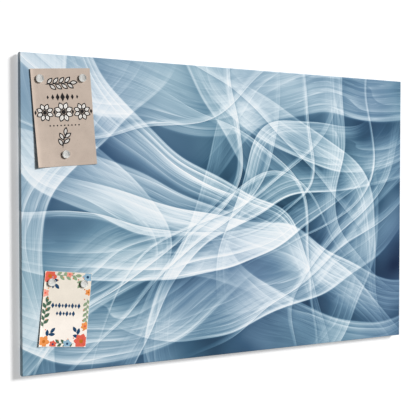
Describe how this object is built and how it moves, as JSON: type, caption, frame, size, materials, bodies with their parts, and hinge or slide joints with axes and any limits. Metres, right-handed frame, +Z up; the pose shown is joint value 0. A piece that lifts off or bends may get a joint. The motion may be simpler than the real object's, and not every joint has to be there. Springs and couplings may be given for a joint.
{
  "type": "magnetic board",
  "caption": "Wall-hung magnetic board: folded steel tray faced with printed film, on keyhole corner plates, with paper cards held on its front by pot magnets.",
  "frame": {"origin": "centre of the board's back, in the plane of the wall that the rubber buffers touch", "axes": "+X to the viewer's right along the long side, +Y into the wall, +Z up; the display side faces -Y"},
  "size_m": [0.9, 0.0256, 0.6],
  "materials": {
    "print_film": "satin printed film in pale and slate blues",
    "tray_steel": "satin pale grey coil coating",
    "zinc_steel": "zinc plated, faint spangle",
    "foam_tape": "matt acrylic foam",
    "rivet_alloy": "bright drawn",
    "buffer_rubber": "matt moulded",
    "craft_paper": "uncoated, faintly flecked",
    "cream_paper": "smooth, uncoated",
    "nickel_cup": "nickel plated, fine turned marks",
    "magnet_core": "dark nickel"
  },
  "bodies": {
    "board": {"steel_tray": "tray_steel", "printed_facing": "print_film", "stiffener_left": "zinc_steel", "stiffener_right": "zinc_steel", "bond_tape_left_outer": "foam_tape", "bond_tape_left_inner": "foam_tape", "bond_tape_right_outer": "foam_tape", "bond_tape_right_inner": "foam_tape", "corner_plate_top_left": "zinc_steel", "corner_plate_top_right": "zinc_steel", "corner_plate_bottom_right": "zinc_steel", "corner_plate_bottom_left": "zinc_steel", "rivet_top_left_1": "rivet_alloy", "rivet_top_left_2": "rivet_alloy", "rivet_top_right_1": "rivet_alloy", "rivet_top_right_2": "rivet_alloy", "rivet_bottom_right_1": "rivet_alloy", "rivet_bottom_right_2": "rivet_alloy", "rivet_bottom_left_1": "rivet_alloy", "rivet_bottom_left_2": "rivet_alloy", "buffer_top_left": "buffer_rubber", "buffer_top_right": "buffer_rubber", "buffer_bottom_right": "buffer_rubber", "buffer_bottom_left": "buffer_rubber"},
    "note": {"note_card": "craft_paper"},
    "note_magnet_left": {"note_magnet_left_cup": "nickel_cup", "note_magnet_left_core": "magnet_core"},
    "note_magnet_right": {"note_magnet_right_cup": "nickel_cup", "note_magnet_right_core": "magnet_core"},
    "note_magnet_lower": {"note_magnet_lower_cup": "nickel_cup", "note_magnet_lower_core": "magnet_core"},
    "invite": {"invite_card": "cream_paper"},
    "invite_magnet_left": {"invite_magnet_left_cup": "nickel_cup", "invite_magnet_left_core": "magnet_core"},
    "invite_magnet_right": {"invite_magnet_right_cup": "nickel_cup", "invite_magnet_right_core": "magnet_core"}
  },
  "joints": [
    {"name": "note_slide", "type": "slide", "parent": "board", "child": "note", "axis": [1, 0, 0], "range_m": [-0.018, 0.75]},
    {"name": "note_magnet_left_pull", "type": "slide", "parent": "note", "child": "note_magnet_left", "axis": [0, -1, 0], "range_m": [0, 0.03]},
    {"name": "note_magnet_right_pull", "type": "slide", "parent": "note", "child": "note_magnet_right", "axis": [0, -1, 0], "range_m": [0, 0.03]},
    {"name": "note_magnet_lower_pull", "type": "slide", "parent": "note", "child": "note_magnet_lower", "axis": [0, -1, 0], "range_m": [0, 0.03]},
    {"name": "invite_slide", "type": "slide", "parent": "board", "child": "invite", "axis": [1, 0, 0], "range_m": [-0.03, 0.76]},
    {"name": "invite_magnet_left_pull", "type": "slide", "parent": "invite", "child": "invite_magnet_left", "axis": [0, -1, 0], "range_m": [0, 0.03]},
    {"name": "invite_magnet_right_pull", "type": "slide", "parent": "invite", "child": "invite_magnet_right", "axis": [0, -1, 0], "range_m": [0, 0.03]}
  ]
}
